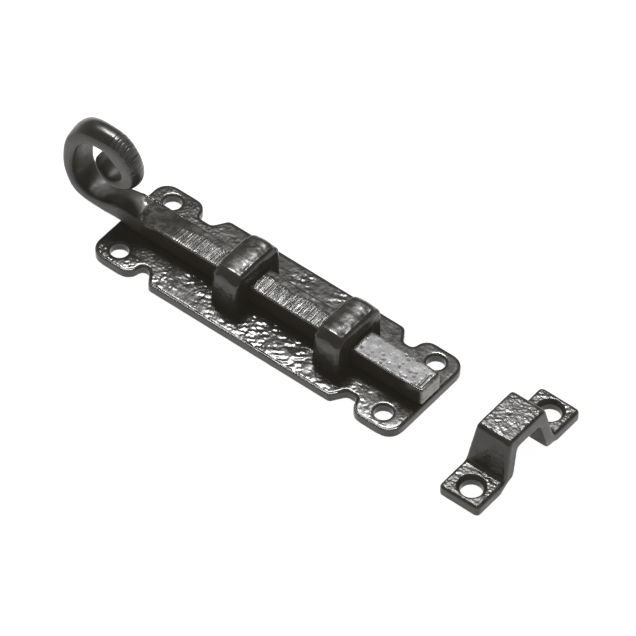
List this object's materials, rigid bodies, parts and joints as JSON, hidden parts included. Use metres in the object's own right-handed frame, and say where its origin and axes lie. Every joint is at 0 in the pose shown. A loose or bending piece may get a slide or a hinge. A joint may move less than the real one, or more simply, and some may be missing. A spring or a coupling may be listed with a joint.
{
  "type": "sliding door bolt with keep",
  "caption": "Black cast iron sliding door bolt with a curled tail for a handle, a notched backplate, bridge staples and a separate bridge keep.",
  "frame": {"origin": "centre of the four screw holes, on the back face of the backplate", "axes": "+X is the way the bar is thrown, +Y runs across the bar, +Z points away from the door"},
  "size_m": [0.1536, 0.0436, 0.0316],
  "materials": {
    "plate_casting": "gloss black paint on a coarse pitted casting",
    "staple_casting": "gloss black paint on a smooth dented casting",
    "bar_casting": "black paint over transverse grinding marks",
    "keep_casting": "gloss black paint on a fine pitted casting",
    "pin_steel": "plain steel",
    "spring_steel": "blued spring steel"
  },
  "bodies": {
    "base": {"backplate": "plate_casting", "rear_staple": "staple_casting", "front_staple": "staple_casting", "bow_spring": "spring_steel", "keep": "keep_casting"},
    "bolt": {"bolt_bar": "bar_casting", "stop_pin": "pin_steel"}
  },
  "joints": [
    {"name": "bolt_slide", "type": "slide", "parent": "base", "child": "bolt", "axis": [1, 0, 0], "range_m": [0, 0.03]}
  ]
}
